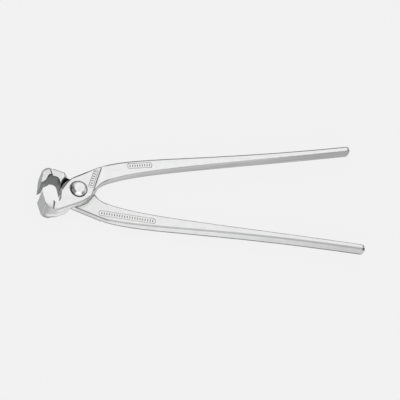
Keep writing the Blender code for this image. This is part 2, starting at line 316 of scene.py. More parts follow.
def mottled(tree, colour, place, scale, detail, dark, light):
    """Colour broken up by noise between a dark and a light level; also the noise itself."""
    noise = node(tree, "ShaderNodeTexNoise", {"Vector": place, "Scale": scale, "Detail": detail})
    level = node(tree, "ShaderNodeMapRange", {
        "Value": noise.outputs["Fac"], "From Min": 0.3, "From Max": 0.7, "To Min": dark, "To Max": light})
    tone = node(tree, "ShaderNodeVectorMath", {0: colour, 1: level.outputs["Result"]}, operation="MULTIPLY")
    return tone.outputs["Vector"], noise.outputs["Fac"]


def plated_metal(tree, colour, roughness, height, strength, depth):
    """Ends a tree in plated metal whose bumps come from a height."""
    bump = node(tree, "ShaderNodeBump", {"Height": height, "Strength": strength, "Distance": depth})
    skin = node(tree, "ShaderNodeBsdfPrincipled", {
        "Base Color": colour, "Metallic": 1.0, "Roughness": roughness, "Normal": bump.outputs["Normal"]})
    node(tree, "ShaderNodeOutputMaterial", {"Surface": skin.outputs["BSDF"]})
    return skin


def zinc_plated_forging(finish):
    """Bright zinc on a shot blasted forging: pale, satin and faintly mottled, with painted shade on
    corners, brinks and some faces, on the trimmed sides and in the slot.
    """
    made = new_material("zinc_plated_forging")
    tree = made.node_tree
    place = node(tree, "ShaderNodeTexCoord").outputs["Object"]
    # Mottling of the plating bath, about 6 mm across
    colour, cloud = mottled(tree, finish.zinc, place, 1.0 / (6.0 * MM), 3.0, 0.95, 1.04)
    rough = node(tree, "ShaderNodeMapRange", {
        "Value": cloud, "From Min": 0.3, "From Max": 0.7, "To Min": 0.29, "To Max": 0.36})
    # Trimming leaves streaks about 1.8 mm wide that run on for some 60 mm
    drawn = node(tree, "ShaderNodeMapping", {
        "Vector": place, "Scale": (1.0 / (60.0 * MM), 1.0 / (60.0 * MM), 1.0 / (1.8 * MM))})
    trimmed, _ = mottled(tree, finish.trimmed, drawn.outputs["Vector"], 1.0, 2.0, 0.8, 1.2)
    # Each mark brings in its own colour: trimmed zinc that also carries painted shade, the painted shade
    # grey, and the painted shade of the slot
    for mark, tint in (
            ("trimmed_and_shaded_side", trimmed),
            ("painted_shade", (*finish.painted_shade_grey, 1.0)),
            ("painted_slot_shade", (*finish.slot_shade, 1.0))):
        share = node(tree, "ShaderNodeAttribute", attribute_name=mark)
        colour = node(tree, "ShaderNodeMix", {
            0: share.outputs["Fac"], 6: colour, 7: tint}, data_type="RGBA").outputs[2]
    # Shot blasting leaves dimples of about 0.5 mm
    dimple = node(tree, "ShaderNodeTexNoise", {"Vector": place, "Scale": 1.0 / (0.5 * MM), "Detail": 2.0})
    plated_metal(tree, colour, rough.outputs["Result"], dimple.outputs["Fac"], 0.12, 0.06 * MM)
    return made


def zinc_over_grinding(finish):
    """Zinc over faces ground on a wheel: a little darker, with fine lines along the edge's width."""
    made = new_material("zinc_over_grinding")
    tree = made.node_tree
    place = node(tree, "ShaderNodeTexCoord").outputs["Object"]
    # Wheel lines lie about 0.4 mm apart and run on for some 20 mm
    drawn = node(tree, "ShaderNodeMapping", {
        "Vector": place, "Scale": (1.0 / (0.4 * MM), 1.0 / (0.4 * MM), 1.0 / (20.0 * MM))})
    colour, lines = mottled(tree, finish.ground, drawn.outputs["Vector"], 1.0, 2.0, 0.9, 1.06)
    skin = plated_metal(tree, colour, 0.34, lines, 0.15, 0.05 * MM)
    # The lines break up the sheen at a low angle
    skin.inputs["Specular Tint"].default_value = (0.42, 0.42, 0.42, 1.0)
    return made


def dull_shaded_hollow(finish):
    """Zinc in the hollow of the jaws, dull and a little gritty because no tool reaches in to polish it, in
    a dark grey that is painted shade.
    """
    made = new_material("dull_shaded_hollow")
    tree = made.node_tree
    place = node(tree, "ShaderNodeTexCoord").outputs["Object"]
    # Grit gathers in spots of about 1 mm
    dull, grit = mottled(tree, finish.hollow, place, 1.0 / (1.0 * MM), 3.0, 0.88, 1.1)
    height = node(tree, "ShaderNodeSeparateXYZ", {0: place})
    # Darker towards the top of the hollow, over its last 4 mm or so
    rim = node(tree, "ShaderNodeMapRange", {
        "Value": height.outputs["Z"], "From Min": PLATE_THICKNESS + RIVET_HEAD_HEIGHT + 5.0 * MM,
        "From Max": PLATE_THICKNESS + RIVET_HEAD_HEIGHT + 9.5 * MM, "To Min": 1.0, "To Max": 0.55})
    colour = node(tree, "ShaderNodeVectorMath", {0: dull, 1: rim.outputs["Result"]}, operation="MULTIPLY")
    plated_metal(tree, colour.outputs["Vector"], 0.42, grit, 0.2, 0.05 * MM)
    return made


def zinc_plated_turning(finish):
    """Zinc on a turned rivet: bright, with rings left by the tool about 0.35 mm apart."""
    made = new_material("zinc_plated_turning")
    tree = made.node_tree
    place = node(tree, "ShaderNodeTexCoord").outputs["Object"]
    rings = node(tree, "ShaderNodeTexWave", {
        "Vector": place, "Scale": 2.0 * math.pi / 20.0 / (0.35 * MM), "Distortion": 0.6, "Detail": 2.0},
        wave_type="RINGS", rings_direction="Z")
    # Mottling of the plating bath, about 2 mm across on so small a piece
    colour, _ = mottled(tree, finish.rivet, place, 1.0 / (2.0 * MM), 3.0, 0.9, 1.06)
    flat = node(tree, "ShaderNodeVectorMath", {0: place, 1: (1.0, 1.0, 0.0)}, operation="MULTIPLY")
    reach = node(tree, "ShaderNodeVectorMath", {0: flat.outputs["Vector"]}, operation="LENGTH")
    # Painted shade lies in a line of about 0.5 mm round the rim
    rim = node(tree, "ShaderNodeMapRange", {
        "Value": reach.outputs["Value"], "From Min": RIVET_HEAD_RADIUS - 0.65 * MM,
        "From Max": RIVET_HEAD_RADIUS - 0.45 * MM})
    tinted = node(tree, "ShaderNodeMix", {
        0: rim.outputs["Result"], 6: colour, 7: (*finish.painted_shade_grey, 1.0)}, data_type="RGBA")
    plated_metal(tree, tinted.outputs[2], 0.27, rings.outputs["Fac"], 0.1, 0.04 * MM)
    return made


def studio_floor(finish):
    """Matt pale paper, seen and reflected mostly at its own colour, with a faint shadow left on it."""
    made = new_material("studio_floor")
    tree = made.node_tree
    rays = node(tree, "ShaderNodeLightPath").outputs
    mirrored = node(tree, "ShaderNodeMath", {
        0: rays["Is Glossy Ray"], 1: rays["Is Transmission Ray"]}, operation="MAXIMUM")
    seen = node(tree, "ShaderNodeMath", {
        0: rays["Is Camera Ray"], 1: mirrored.outputs[0]}, operation="MAXIMUM")
    share = node(tree, "ShaderNodeMath", {
        0: seen.outputs[0], 1: FLOOR_PLAIN_SHARE}, operation="MULTIPLY")
    paper = node(tree, "ShaderNodeBsdfDiffuse", {"Color": (*finish.floor, 1.0)})
    plain = node(tree, "ShaderNodeEmission", {"Color": (*finish.floor, 1.0), "Strength": 1.0})
    mixed = node(tree, "ShaderNodeMixShader", {
        0: share.outputs[0], 1: paper.outputs[0], 2: plain.outputs[0]})
    node(tree, "ShaderNodeOutputMaterial", {"Surface": mixed.outputs[0]})
    return made


# Meshes

def link(name, mesh):
    """Object at the origin for a mesh."""
    made = bpy.data.objects.new(name, mesh)
    bpy.context.scene.collection.objects.link(made)
    return made


def settled(made, name):
    """Plain mesh of an object with its modifiers and its turn applied; the object goes."""
    bpy.context.view_layer.update()
    evaluated = made.evaluated_get(bpy.context.evaluated_depsgraph_get())
    mesh = bpy.data.meshes.new_from_object(evaluated)
    mesh.transform(made.matrix_world)
    mesh.name = name
    bpy.data.objects.remove(made, do_unlink=True)
    return mesh


def rounded(corners):
    """Outline through corners (x, y, radius), with an arc of that radius at each."""
    points = []
    count = len(corners)
    for index, (x, y, radius) in enumerate(corners):
        here = Vector((x, y))
        if radius == 0.0:
            points.append(here)
            continue
        back = (Vector(corners[index - 1][:2]) - here).normalized()
        ahead = (Vector(corners[(index + 1) % count][:2]) - here).normalized()
        half = back.angle(ahead) / 2.0
        centre = here + (back + ahead).normalized() * (radius / math.sin(half))
        start = here + back * (radius / math.tan(half)) - centre
        sweep = start.angle_signed(here + ahead * (radius / math.tan(half)) - centre)
        steps = max(2, math.ceil(abs(sweep) / ARC_STEP))
        for step in range(steps + 1):
            points.append(centre + Matrix.Rotation(-sweep * step / steps, 2) @ start)
    return points


def loft(name, rings):
    """Closed skin through rings of equally many points, capped at both ends."""
    work = bmesh.new()
    rows = [[work.verts.new(point) for point in ring] for ring in rings]
    for row, following in zip(rows, rows[1:]):
        for index in range(len(row)):
            after = (index + 1) % len(row)
            work.faces.new((row[index], row[after], following[after], following[index]))
    work.faces.new(rows[0])
    work.faces.new(rows[-1])
    bmesh.ops.recalc_face_normals(work, faces=work.faces)
    mesh = bpy.data.meshes.new(name)
    work.to_mesh(mesh)
    work.free()
    return link(name, mesh)


def prism(name, outline, low, high):
    """Flat outline carried from one height to another."""
    return loft(name, [[(x, y, z) for x, y in outline] for z in (low, high)])


def back_profile(name, back, low, high, low_round, high_round, turn):
    """Long bar whose end view has flat sides and two rounded edges along its back, turned in plan."""
    outline = rounded([
        (-back, low, low_round), (-back, high, high_round), (REACH, high, 0.0), (REACH, low, 0.0)])
    made = prism(name, outline, -REACH, REACH)
    made.rotation_euler = (math.pi / 2.0, 0.0, math.pi / 2.0 + turn)
    return made


def join(target, tool, operation):
    """Boolean of one solid with another; new faces keep the tool's material."""
    step = target.modifiers.new(tool.name, "BOOLEAN")
    step.operation = operation
    step.solver = "MANIFOLD"
    step.material_mode = "TRANSFER"
    step.object = tool


def along(x):
    """Share of the handle's length passed at x, from the end of its root to its tip."""
    return np.clip((x - ROOT_END) / (HANDLE_REACH - ROOT_END), 0.0, 1.0)


def handle_width(x):
    """Width of the handle."""
    return HANDLE_END_WIDTH + (HANDLE_ROOT_WIDTH - HANDLE_END_WIDTH) * (1.0 - along(x)) ** TAPER_POWER


def handle_centre(x):
    """Distance of the handle's middle from the tool's axis."""
    share = along(x)
    flare = HANDLE_FLARE * share ** FLARE_POWER
    return HANDLE_OFFSET + flare - HANDLE_ROOT_INSET * (1.0 - share) ** INSET_POWER


def handle_ease(x):
    """How far the handle has come from its flat root section to its deep end section."""
    return 1.0 - (1.0 - along(x)) ** 2


def handle_low(x):
    """Height of the handle's lap side."""
    return ROOT_LOW - (ROOT_LOW + HANDLE_END_THICKNESS / 2.0) * handle_ease(x)


def handle_high(x):
    """Height of the handle's plate side."""
    grown = (HANDLE_END_THICKNESS - HANDLE_ROOT_THICKNESS) * handle_ease(x)
    return handle_low(x) + HANDLE_ROOT_THICKNESS + grown


def plate_edge(x):
    """Upper edge of the joint plate: straight from its shoulder to the end of the handle's root."""
    full = handle_centre(ROOT_END) + handle_width(ROOT_END) / 2.0
    share = (x + PLATE_SHOULDER_RUN) / (ROOT_END + PLATE_SHOULDER_RUN)
    return PLATE_SHOULDER_RISE + (full - PLATE_SHOULDER_RISE) * share


def root_lean(x):
    """How much the handle's inner side leans outward per height, from upright beside the joint."""
    return HANDLE_LEAN * min(1.0, (x - ROOT_START) / (ROOT_END - ROOT_START))


def outer_edge(x):
    """Outer edge of the handle; beside the joint it lies just inside the plate's edge."""
    if x >= ROOT_END:
        return handle_centre(x) + handle_width(x) / 2.0
    return plate_edge(x) - EDGE_INSET * min(1.0, (ROOT_END - x) / (ROOT_END - STEP_TOP_RUN))


def inner_edge(x):
    """Inner edge of the handle; at the root it sweeps round to the plate's lower edge."""
    if x >= ROOT_END:
        return handle_centre(x) - handle_width(x) / 2.0
    slope = (inner_edge(ROOT_END + MM) - inner_edge(ROOT_END)) / MM
    straight = inner_edge(ROOT_END) + slope * (x - ROOT_END)
    share = (x - ROOT_START) / (ROOT_END - ROOT_START)
    drop = inner_edge(ROOT_END) + slope * (ROOT_START - ROOT_END) + STEP_FOOT_DROP - EDGE_INSET
    return straight - drop * (1.0 - math.sin(math.pi / 2.0 * share) ** ROOT_SWEEP_POWER)


def root_ring(x):
    """Rounded rectangle across the handle's root at x."""
    middle_y = (outer_edge(x) + inner_edge(x)) / 2.0
    half_y = (outer_edge(x) - inner_edge(x)) / 2.0
    middle_z = (handle_low(x) + handle_high(x)) / 2.0
    half_z = (handle_high(x) - handle_low(x)) / 2.0
    ring = []
    for point in range(RING_POINTS):
        turn = 2.0 * math.pi * (point + 0.5) / RING_POINTS
        c, s = math.cos(turn), math.sin(turn)
        y = math.copysign(half_y - EDGE_ROUND_ROOT, c) + EDGE_ROUND_ROOT * c
        z = math.copysign(half_z - EDGE_ROUND_ROOT, s) + EDGE_ROUND_ROOT * s
        ring.append((x, middle_y + y + (root_lean(x) * z if c < 0.0 else 0.0), middle_z + z))
    return ring


def heel():
    """Foot of the plate's lower side, which leans out towards the lap face and round into the handle."""
    outline = rounded([(x * MM, y * MM, radius * MM) for x, y, radius in HEEL_CORNERS])
    top = PLATE_THICKNESS - PLATE_EDGE_ROUND
    return settled(loft("heel", [
        [(*point, LAP_FACE) for point in outline],
        [(*(point + HEEL_SET_IN), top) for point in outline]]), "heel")


def new_tree(name, sizes):
    """Empty node tree with a named length or number for each size; also the modifier's values for them."""
    tree = bpy.data.node_groups.new(name, "GeometryNodeTree")
    tree.interface.new_socket(name="Geometry", in_out="INPUT", socket_type="NodeSocketGeometry")
    tree.interface.new_socket(name="Geometry", in_out="OUTPUT", socket_type="NodeSocketGeometry")
    values = {}
    for label, size in sizes.items():
        socket = tree.interface.new_socket(name=label, in_out="INPUT", socket_type="NodeSocketFloat")
        values[socket.identifier] = size
    return tree, values


def end_tree(tree, geometry, material):
    """Closes a tree with real geometry in its material."""
    real = node(tree, "GeometryNodeRealizeInstances", {0: geometry})
    dressed = node(tree, "GeometryNodeSetMaterial", {"Geometry": real.outputs[0], "Material": material})
    node(tree, "NodeGroupOutput", {0: dressed.outputs[0]})


# Section of the handle at each point of a unit tube about X: each row names a value and how it is got
HANDLE_RULE = (
    ("length", "SUBTRACT", "Handle reach", "Root end"),
    ("run", "SUBTRACT", "x", "Root end"),
    ("share", "DIVIDE", "run", "length"),
    ("rest", "SUBTRACT", 1.0, "share"),
    ("left", "MAXIMUM", "rest", 0.0),
    ("left squared", "POWER", "left", 2.0),
    ("ease", "SUBTRACT", 1.0, "left squared"),
    ("taper", "POWER", "left", TAPER_POWER),
    ("width lost", "SUBTRACT", "Root width", "End width"),
    ("width", "MULTIPLY_ADD", "width lost", "taper", "End width"),
    ("half width", "MULTIPLY", "width", 0.5),
    ("flare", "POWER", "share", FLARE_POWER),
    ("outward", "MULTIPLY_ADD", "Flare", "flare", "Offset"),
    ("inset", "POWER", "left", INSET_POWER),
    ("inward", "MULTIPLY", "Root inset", "inset"),
    ("centre", "SUBTRACT", "outward", "inward"),
    ("depth gained", "SUBTRACT", "End thickness", "Root thickness"),
    ("depth", "MULTIPLY_ADD", "depth gained", "ease", "Root thickness"),
    ("half depth", "MULTIPLY", "depth", 0.5),
    ("sink", "MULTIPLY_ADD", "End thickness", 0.5, "Root low"),
    ("sunk", "MULTIPLY", "sink", "ease"),
    ("low", "SUBTRACT", "Root low", "sunk"),
    ("middle", "ADD", "low", "half depth"),
    ("round gained", "SUBTRACT", "End round", "Root round"),
    ("round", "MULTIPLY_ADD", "round gained", "ease", "Root round"),
    ("tip", "SUBTRACT", "Handle reach", "Tip round"),
    ("past tip", "SUBTRACT", "x", "tip"),
    ("tip share", "DIVIDE", "past tip", "Tip round"),
    ("tip turn", "MAXIMUM", "tip share", 0.0),
    ("tip square", "POWER", "tip turn", 2.0),
    ("tip rest", "SUBTRACT", 1.0, "tip square"),
    ("tip floor", "MAXIMUM", "tip rest", TIP_LEAST),
    ("tip cosine", "SQRT", "tip floor"),
    ("tip fall", "SUBTRACT", 1.0, "tip cosine"),
    ("tip draw y", "MULTIPLY", "Tip round", TIP_DRAW_ACROSS),
    ("drawn y", "MULTIPLY", "tip fall", "tip draw y"),
    ("tip draw z", "MULTIPLY", "Tip round", TIP_DRAW_DEPTH),
    ("drawn z", "MULTIPLY", "tip fall", "tip draw z"),
    ("reach y", "SUBTRACT", "half width", "drawn y"),
    ("reach z", "SUBTRACT", "half depth", "drawn z"),
    ("least", "MINIMUM", "reach y", "reach z"),
    ("corner", "MINIMUM", "round", "least"),
    ("flat y", "SUBTRACT", "reach y", "corner"),
    ("flat z", "SUBTRACT", "reach z", "corner"),
    ("side y", "SIGN", "y"),
    ("side z", "SIGN", "z"),
    ("bent y", "MULTIPLY_ADD", "y", "corner", "centre"),
    ("bent z", "MULTIPLY_ADD", "z", "corner", "middle"),
    ("at y", "MULTIPLY_ADD", "side y", "flat y", "bent y"),
    ("at z", "MULTIPLY_ADD", "side z", "flat z", "bent z"),
    ("upright", "POWER", "left", LEAN_POWER),
    ("outer side", "MULTIPLY_ADD", "side y", 0.5, 0.5),
    ("held", "MULTIPLY", "upright", "outer side"),
    ("free", "SUBTRACT", 1.0, "held"),
    ("lean", "MULTIPLY", "Lean", "free"),
    ("height", "SUBTRACT", "at z", "middle"),
    ("leant y", "MULTIPLY_ADD", "height", "lean", "at y"),
)


def handle_tree(material):
    """Handle past its root: a tube on a straight line, given the section that the rule says."""
    tree, values = new_tree("tapered_handle", {
        "Root end": ROOT_END, "Handle reach": HANDLE_REACH,
        "Root width": HANDLE_ROOT_WIDTH, "End width": HANDLE_END_WIDTH,
        "Root thickness": HANDLE_ROOT_THICKNESS, "End thickness": HANDLE_END_THICKNESS,
        "Offset": HANDLE_OFFSET, "Root inset": HANDLE_ROOT_INSET, "Flare": HANDLE_FLARE,
        "Root low": ROOT_LOW, "Root round": EDGE_ROUND_ROOT, "End round": EDGE_ROUND_END,
        "Tip round": TIP_ROUND, "Lean": HANDLE_LEAN})
    given = node(tree, "NodeGroupInput").outputs
    start = node(tree, "ShaderNodeCombineXYZ", {"X": given["Root end"]})
    end = node(tree, "ShaderNodeCombineXYZ", {"X": given["Handle reach"]})
    line = node(tree, "GeometryNodeCurvePrimitiveLine", {"Start": start.outputs[0], "End": end.outputs[0]})
    path = node(tree, "GeometryNodeResampleCurve", {"Curve": line.outputs[0], "Count": STATIONS})
    ring = node(tree, "GeometryNodeCurvePrimitiveCircle", {"Resolution": RING_POINTS, "Radius": 1.0})
    tube = node(tree, "GeometryNodeCurveToMesh", {
        "Curve": path.outputs[0], "Profile Curve": ring.outputs[0], "Fill Caps": True})
    place = node(tree, "GeometryNodeInputPosition")
    at = node(tree, "ShaderNodeSeparateXYZ", {0: place.outputs[0]}).outputs
    known = {socket.name: socket for socket in given if socket.name not in ("Geometry", "")}
    known.update(x=at["X"], y=at["Y"], z=at["Z"])
    for name, operation, *terms in HANDLE_RULE:
        inputs = {index: known.get(term, term) for index, term in enumerate(terms)}
        known[name] = node(tree, "ShaderNodeMath", inputs, operation=operation).outputs[0]
    moved = node(tree, "ShaderNodeCombineXYZ", {"X": at["X"], "Y": known["leant y"], "Z": known["at z"]})
    shaped = node(tree, "GeometryNodeSetPosition", {
        "Geometry": tube.outputs[0], "Position": moved.outputs[0]})
    end_tree(tree, shaped.outputs[0], material)
    return tree, values


def frame_tree(material, forging):
    """Raised frame: a half-sunk round bead along an outline."""
    tree, values = new_tree("raised_frame", {"Rib radius": forging.rib_radius})
    given = node(tree, "NodeGroupInput").outputs
    path = node(tree, "GeometryNodeMeshToCurve", {"Mesh": given["Geometry"]})
    bead = node(tree, "GeometryNodeCurvePrimitiveCircle", {
        "Resolution": BEAD_STEPS, "Radius": given["Rib radius"]})
    rib = node(tree, "GeometryNodeCurveToMesh", {
        "Curve": path.outputs[0], "Profile Curve": bead.outputs[0], "Fill Caps": True})
    end_tree(tree, rib.outputs[0], material)
    return tree, values


def bar_tree(material, forging):
    """Row of raised bars across a line, evenly spaced."""
    tree, values = new_tree("raised_bars", {
        "Bar radius": forging.bar_radius, "Bar length": forging.bar_length,
        "Bar spacing": forging.bar_spacing})
    given = node(tree, "NodeGroupInput").outputs
    line = node(tree, "GeometryNodeMeshToCurve", {"Mesh": given["Geometry"]})
    spots = node(tree, "GeometryNodeResampleCurve", {
        "Curve": line.outputs[0], "Length": given["Bar spacing"]}, mode="LENGTH")
    thick = node(tree, "ShaderNodeMath", {0: given["Bar radius"], 1: 2.0}, operation="MULTIPLY")
    size = node(tree, "ShaderNodeCombineXYZ", {
        "X": thick.outputs[0], "Y": given["Bar length"], "Z": thick.outputs[0]})
    block = node(tree, "GeometryNodeMeshCube", {"Size": size.outputs[0], "Vertices Y": 4})
    soft = node(tree, "GeometryNodeSubdivisionSurface", {"Mesh": block.outputs[0], "Level": 2})
    ahead = node(tree, "GeometryNodeInputTangent")
    turn = node(tree, "FunctionNodeAlignRotationToVector", {"Vector": ahead.outputs[0]}, axis="X")
    bars = node(tree, "GeometryNodeInstanceOnPoints", {
        "Points": spots.outputs[0], "Instance": soft.outputs[0], "Rotation": turn.outputs[0]})
    end_tree(tree, bars.outputs[0], material)
    return tree, values


def grown(name, mesh, tree, values):
    """Plain mesh of what a node tree makes of a mesh, with the tree's inputs set first."""
    made = link(name, mesh)
    step = made.modifiers.new(name, "NODES")
    step.node_group = tree
    for identifier, value in values.items():
        step[identifier] = value
    return settled(made, name)


def neck():
    """Neck and joint plate with the recess for the other plate, solid where the hollow is cut later."""
    start = BLADE_REAR - BLADE_REAR_LEAN - NECK_LAP
    back = -JAW_BACK - NECK_BULGE
    made = prism("neck", rounded([
        (start, plate_edge(start), 0.0),
        (start, -JAW_BACK + NECK_BULGE, 0.0),
        (NECK_TURN, back, JAW_NOSE_RADIUS),
        (0.0, -PLATE_LOWER_EDGE, RECESS_RADIUS),
        (STEP_FOOT_RUN, -STEP_FOOT_DROP, PLATE_CORNER_RADIUS),
        (STEP_TOP_RUN, plate_edge(STEP_TOP_RUN), PLATE_EDGE_ROUND),
    ]), -EDGE_WIDTH, EDGE_WIDTH)
    lean = math.atan2(JAW_BACK + NECK_BULGE - PLATE_LOWER_EDGE, -NECK_TURN)
    lower = back_profile("lower_edge", PLATE_LOWER_EDGE * math.cos(lean) + ROUND_OVER,
                         -NECK_HALF_WIDTH, PLATE_THICKNESS, NECK_BACK_ROUND, PLATE_EDGE_ROUND, lean)
    climb = math.atan2(plate_edge(STEP_TOP_RUN) - plate_edge(0.0), STEP_TOP_RUN)
    upper = back_profile("upper_edge", plate_edge(0.0) * math.cos(climb) + ROUND_OVER,
                         -EDGE_WIDTH, PLATE_THICKNESS + ROUND_OVER, 0.0, PLATE_EDGE_ROUND, climb + math.pi)
    recess = loft("recess", [
        recess_ring(RECESS_RADIUS, HORN_TURN, HORN_TURN, LAP_FACE),
        recess_ring(RECESS_RADIUS + RECESS_TAPER, HORN_TURN - HORN_FLANK,
                    HORN_TURN + HORN_SWING, -RECESS_DEPTH)])
    join(made, lower, "INTERSECT")
    join(made, upper, "INTERSECT")
    shoulder = prism("shoulder", shoulder_outline(), -EDGE_WIDTH, 2.0 * EDGE_WIDTH)
    join(made, recess, "DIFFERENCE")
    join(made, shoulder, "DIFFERENCE")
    mesh = settled(made, "neck")
    for tool in (lower, upper, recess, shoulder):
        bpy.data.objects.remove(tool, do_unlink=True)
    return mesh


def blade():
    """Broad part of the jaw behind the edge, its sides rolled over into the back and round the nose."""
    half = EDGE_WIDTH / 2.0 - BLADE_BACK_ROUND
    front = -EDGE_REACH - GRINDING
    rings = []
    for step in range(-BLADE_STEPS, BLADE_STEPS + 1):
        roll = math.pi / 2.0 * step / BLADE_STEPS
        inset = BLADE_BACK_ROUND * (1.0 - math.cos(roll))
        z = math.copysign(half, step) + BLADE_BACK_ROUND * math.sin(roll)
        radius = JAW_NOSE_RADIUS - inset
        ring = [(front, JAW_BACK, z), (front, -EDGE_BEVEL_DROP, z)]
        for turn in range(CIRCLE_STEPS // 4 + 1):
            way = 2.0 * math.pi * turn / CIRCLE_STEPS
            ring.append((front + JAW_NOSE_RADIUS - radius * math.cos(way),
                         -JAW_BACK + JAW_NOSE_RADIUS - radius * math.sin(way), z))
        rear = BLADE_REAR - BLADE_REAR_TAPER * max(0.0, abs(z) - NECK_HALF_WIDTH)
        ring += [(BLADE_REAR - BLADE_REAR_LEAN, -JAW_BACK + inset, z),
                 (rear, -BLADE_REAR_TURN, z), (rear, JAW_BACK, z)]
        rings.append(ring)
    return settled(loft("blade", rings), "blade")


def recess_ring(radius, turn, away, z):
    """Room for the other lever's plate: round the pivot, then away along the flank of the jaw's horn."""
    start, end = math.pi / 2.0, math.pi + turn
    outline = [(REACH, -REACH), (REACH, REACH), (0.0, REACH)]
    for step in range(CIRCLE_STEPS + 1):
        way = start + (end - start) * step / CIRCLE_STEPS
        outline.append((radius * math.cos(way), radius * math.sin(way)))
    x, y = outline[-1]
    outline.append((x - REACH * math.cos(away), y - REACH * math.sin(away)))
    return [(x, y, z) for x, y in outline]


def mouth_outline():
    """Plan of the room between the jaws with the mouth shut: edge bevel, hollow and the plate's nose."""
    hollow_front = -EDGE_REACH + HOLLOW_FRONT_RUN
    hollow_rear = hollow_front + HOLLOW_LENGTH
    slope = EDGE_BEVEL_DROP / EDGE_BEVEL_RUN
    return rounded([
        (-EDGE_REACH - REACH, -EDGE_GAP + REACH * slope, 0.0),
        (-EDGE_REACH + EDGE_BEVEL_RUN, -EDGE_GAP - EDGE_BEVEL_DROP, BEVEL_FOOT_RADIUS),
        (hollow_front, -HOLLOW_DEPTH, HOLLOW_FRONT_RADIUS),
        (hollow_rear, -HOLLOW_DEPTH, HOLLOW_REAR_RADIUS),
        (-PLATE_NOSE_RUN, PLATE_NOSE_RISE, 0.0),
        (-PLATE_NOSE_RUN, REACH, 0.0),
    ])


def shoulder_outline():
    """Plan of what is trimmed off along the plate's upper edge, from its nose to the handle."""
    return rounded([
        (-PLATE_NOSE_RUN - MM, PLATE_NOSE_RISE - MM * PLATE_CLIMB, 0.0),
        (-PLATE_BEND_RUN, PLATE_BEND_RISE, PLATE_BEND_RADIUS),
        (STEP_FOOT_RUN, plate_edge(STEP_FOOT_RUN) + PLATE_EDGE_ROUND, 0.0),
        (STEP_FOOT_RUN, REACH, 0.0),
        (-PLATE_NOSE_RUN - MM, REACH, 0.0),
    ])


# Painted shade and trimming marks on the forged skin, worked out in mm in the lever's own frame

# Along the lever, the x where a mark or a change in it starts and where it is full
BLADE_BACK = (-19.0, -22.0)
BLADE_TOP_FRONT = (-22.0, -24.0)
BLADE_FRONT = (-26.0, -29.0)
BLADE_BACK_FRONT = (-26.0, -30.0)
BLADE_FOOT_FRONT = (-26.5, -29.5)
NECK_LINE_START = (-27.0, -24.0)
NECK_LINE_CLIMB = (-17.0, -6.5)
NECK_LINE_END = (-4.0, -6.0)
NOSE_BRINK = (-2.0, -6.0)
PLATE_BRINK_START = (-5.0, -2.0)
PLATE_BRINK_END = (17.0, 9.0)
SLOT_START = (-3.0, -7.0)
INNER_SIDE_START = (3.0, 10.0)
ROOT_SIDE_END = (36.0, 10.0)
LAP_SIDE_PALER = (15.0, 55.0)
HANDLE_START = (25.0, 30.0)
HANDLE_TIP = (246.0, 244.0)
PALER_TOP_END = (25.0, 145.0)
OUTER_SIDE_FAR = (110.0, 230.0)
INNER_SIDE_FAR = (150.0, 220.0)

# The same by height z, by y across the lever, and by radius from the pivot
BLADE_FOOT_HEIGHT = (-5.0, -6.6)
BLADE_BACK_HEIGHT = (-3.0, -1.0)
SLOT_FOOT_HEIGHT = (-8.3, -7.7)
SLOT_PALER_SIDE = (-4.0, -2.5)
RING_SHADE_SIDE = (-5.0, 5.0)
SLOT_FLOOR_RADIUS = (13.2, 13.7)

# Limits of a mark: least radius from the pivot, least height z, and ends along the lever
SLOT_FLOOR_START = 11.0
HORN_FLANK_RADIUS = 14.6
PLATE_BRINK_HEIGHT = 6.0
HORN_FLANK_REACH = (-15.0, -7.0)

# Distance from a line where its mark starts and where it is full
UPPER_BRINK = (1.65, 1.15)
ROOT_BRINK = (0.9, 0.5)
BLADE_CORNER = (0.8, 0.5)
PARTING_LINE = (0.75, 0.45)

# Shares of a normal along an axis, between which a side comes to count as upright or as facing that way
UPRIGHT = (0.5, 0.3)
FACING_UP = (0.9, 0.95)
FACING_DOWN = (-0.9, -0.95)
FACING_ASIDE = (0.45, 0.85)
RAISED_SIDE = (1.2, 0.85)

# How many edges of the skin the painted edge shade spreads over, and points along the root's inner brink
SPREAD_EDGES = 3
ROOT_BRINK_POINTS = 9


def ramp(value, start, end):
    """Share that grows from 0 at the start to 1 at the end."""
    return np.clip((value - start) / (end - start), 0.0, 1.0)


def points_of(mesh):
    """Places in mm and normals at a mesh's points, each as three rows for x, y and z."""
    place = np.empty(len(mesh.vertices) * 3, np.float32)
    normal = np.empty(len(mesh.vertices) * 3, np.float32)
    mesh.vertices.foreach_get("co", place)
    mesh.vertex_normals.foreach_get("vector", normal)
    return place.reshape(-1, 3).T / MM, normal.reshape(-1, 3).T


def store(mesh, name, values):
    """Keeps one value per point of a mesh under a name that its material reads."""
    mesh.attributes.new(name, "FLOAT", "POINT").data.foreach_set("value", values.astype(np.float32))


def sharpness(mesh):
    """How sharply the skin bends at each point, in radians per mm."""
    work = bmesh.new()
    work.from_mesh(mesh)
    bend = np.zeros(len(mesh.vertices))
    for edge in work.edges:
        sharp = edge.calc_face_angle(0.0) / max(edge.calc_length(), SHORTEST_EDGE) * MM
        for vert in edge.verts:
            bend[vert.index] = max(bend[vert.index], sharp)
    work.free()
    return bend


def path_distance(at, path):
    """Distance in plan, in mm, from a path of points in metres."""
    x, y, _ = at
    least = np.full(len(x), np.inf)
    corners = [(corner_x / MM, corner_y / MM) for corner_x, corner_y in path]
    for (ax, ay), (bx, by) in zip(corners, corners[1:]):
        dx, dy = bx - ax, by - ay
        way = np.clip(((x - ax) * dx + (y - ay) * dy) / (dx * dx + dy * dy), 0.0, 1.0)
        least = np.minimum(least, np.hypot(x - ax - way * dx, y - ay - way * dy))
    return least


